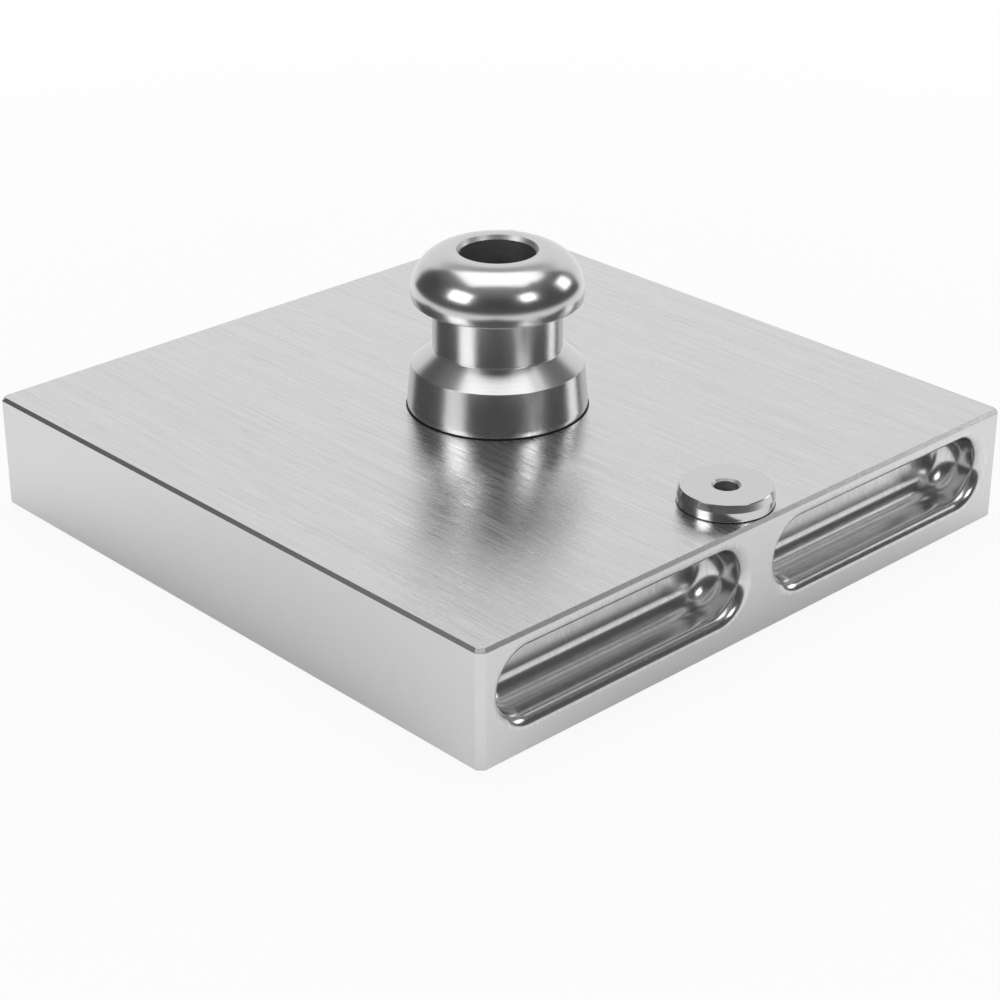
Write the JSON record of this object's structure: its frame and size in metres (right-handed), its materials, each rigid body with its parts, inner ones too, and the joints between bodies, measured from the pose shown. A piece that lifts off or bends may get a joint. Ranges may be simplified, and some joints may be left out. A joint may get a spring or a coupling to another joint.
{
  "type": "cnc clamping pallet",
  "caption": "Square machining pallet with a mushroom-headed clamping stud, a locating disc and long gripper pockets in its front and back edges.",
  "frame": {"origin": "centre of the working face, which is the plate's underside as the pallet is drawn", "axes": "+Z from the working face towards the clamping stud; -Y towards the locating disc; +X along the front edge, with the disc side facing the viewer"},
  "size_m": [0.156, 0.156, 0.0619],
  "materials": {
    "plate": "fine brushed, with rounded milling marks in the pockets",
    "stud": "hardened, ground and polished",
    "disc": "hardened and ground",
    "screw": "black oxide"
  },
  "bodies": {
    "root": {"pallet_plate": "plate", "clamping_stud": "stud", "stud_screw": "screw", "locating_disc": "disc", "disc_screw": "screw"}
  },
  "joints": []
}
